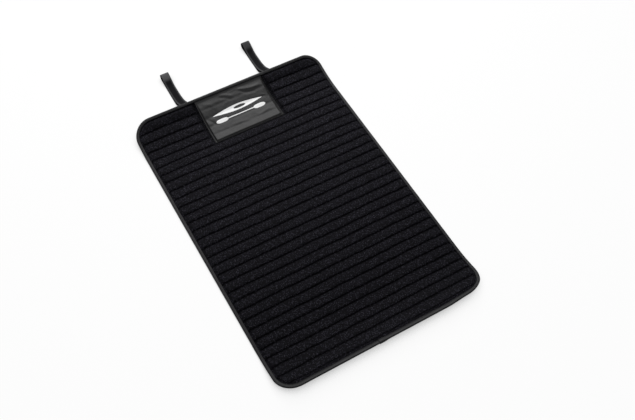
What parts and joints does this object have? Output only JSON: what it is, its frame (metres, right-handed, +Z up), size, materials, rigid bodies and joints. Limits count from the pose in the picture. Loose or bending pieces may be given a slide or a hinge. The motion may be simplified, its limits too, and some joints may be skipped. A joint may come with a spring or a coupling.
{
  "type": "kayak roof pad",
  "caption": "Quilted roof mat with bound edge, label panel and webbing loops at one end, curled at both ends.",
  "frame": {"origin": "centre of the mat's underside, on the surface that it lies on", "axes": "+Y along the mat towards the end with the webbing loops, +X across it, +Z up out of the quilted face"},
  "size_m": [0.6042, 1.0641, 0.0361],
  "materials": {
    "quilted_cloth": "near-black matt synthetic cloth with a faint speckle",
    "backing_cloth": "near-black matt cloth",
    "foam": "pale soft foam, hidden inside",
    "binding_tape": "black folded tape with a slight sheen",
    "coated_nylon": "dark grey coated nylon with a soft sheen",
    "webbing": "black woven webbing"
  },
  "bodies": {
    "root": {"top_cover": "quilted_cloth", "backing": "backing_cloth", "padding": "foam", "edge_binding": "binding_tape", "label_panel": "coated_nylon", "strap_left": "webbing", "strap_right": "webbing"}
  },
  "joints": []
}
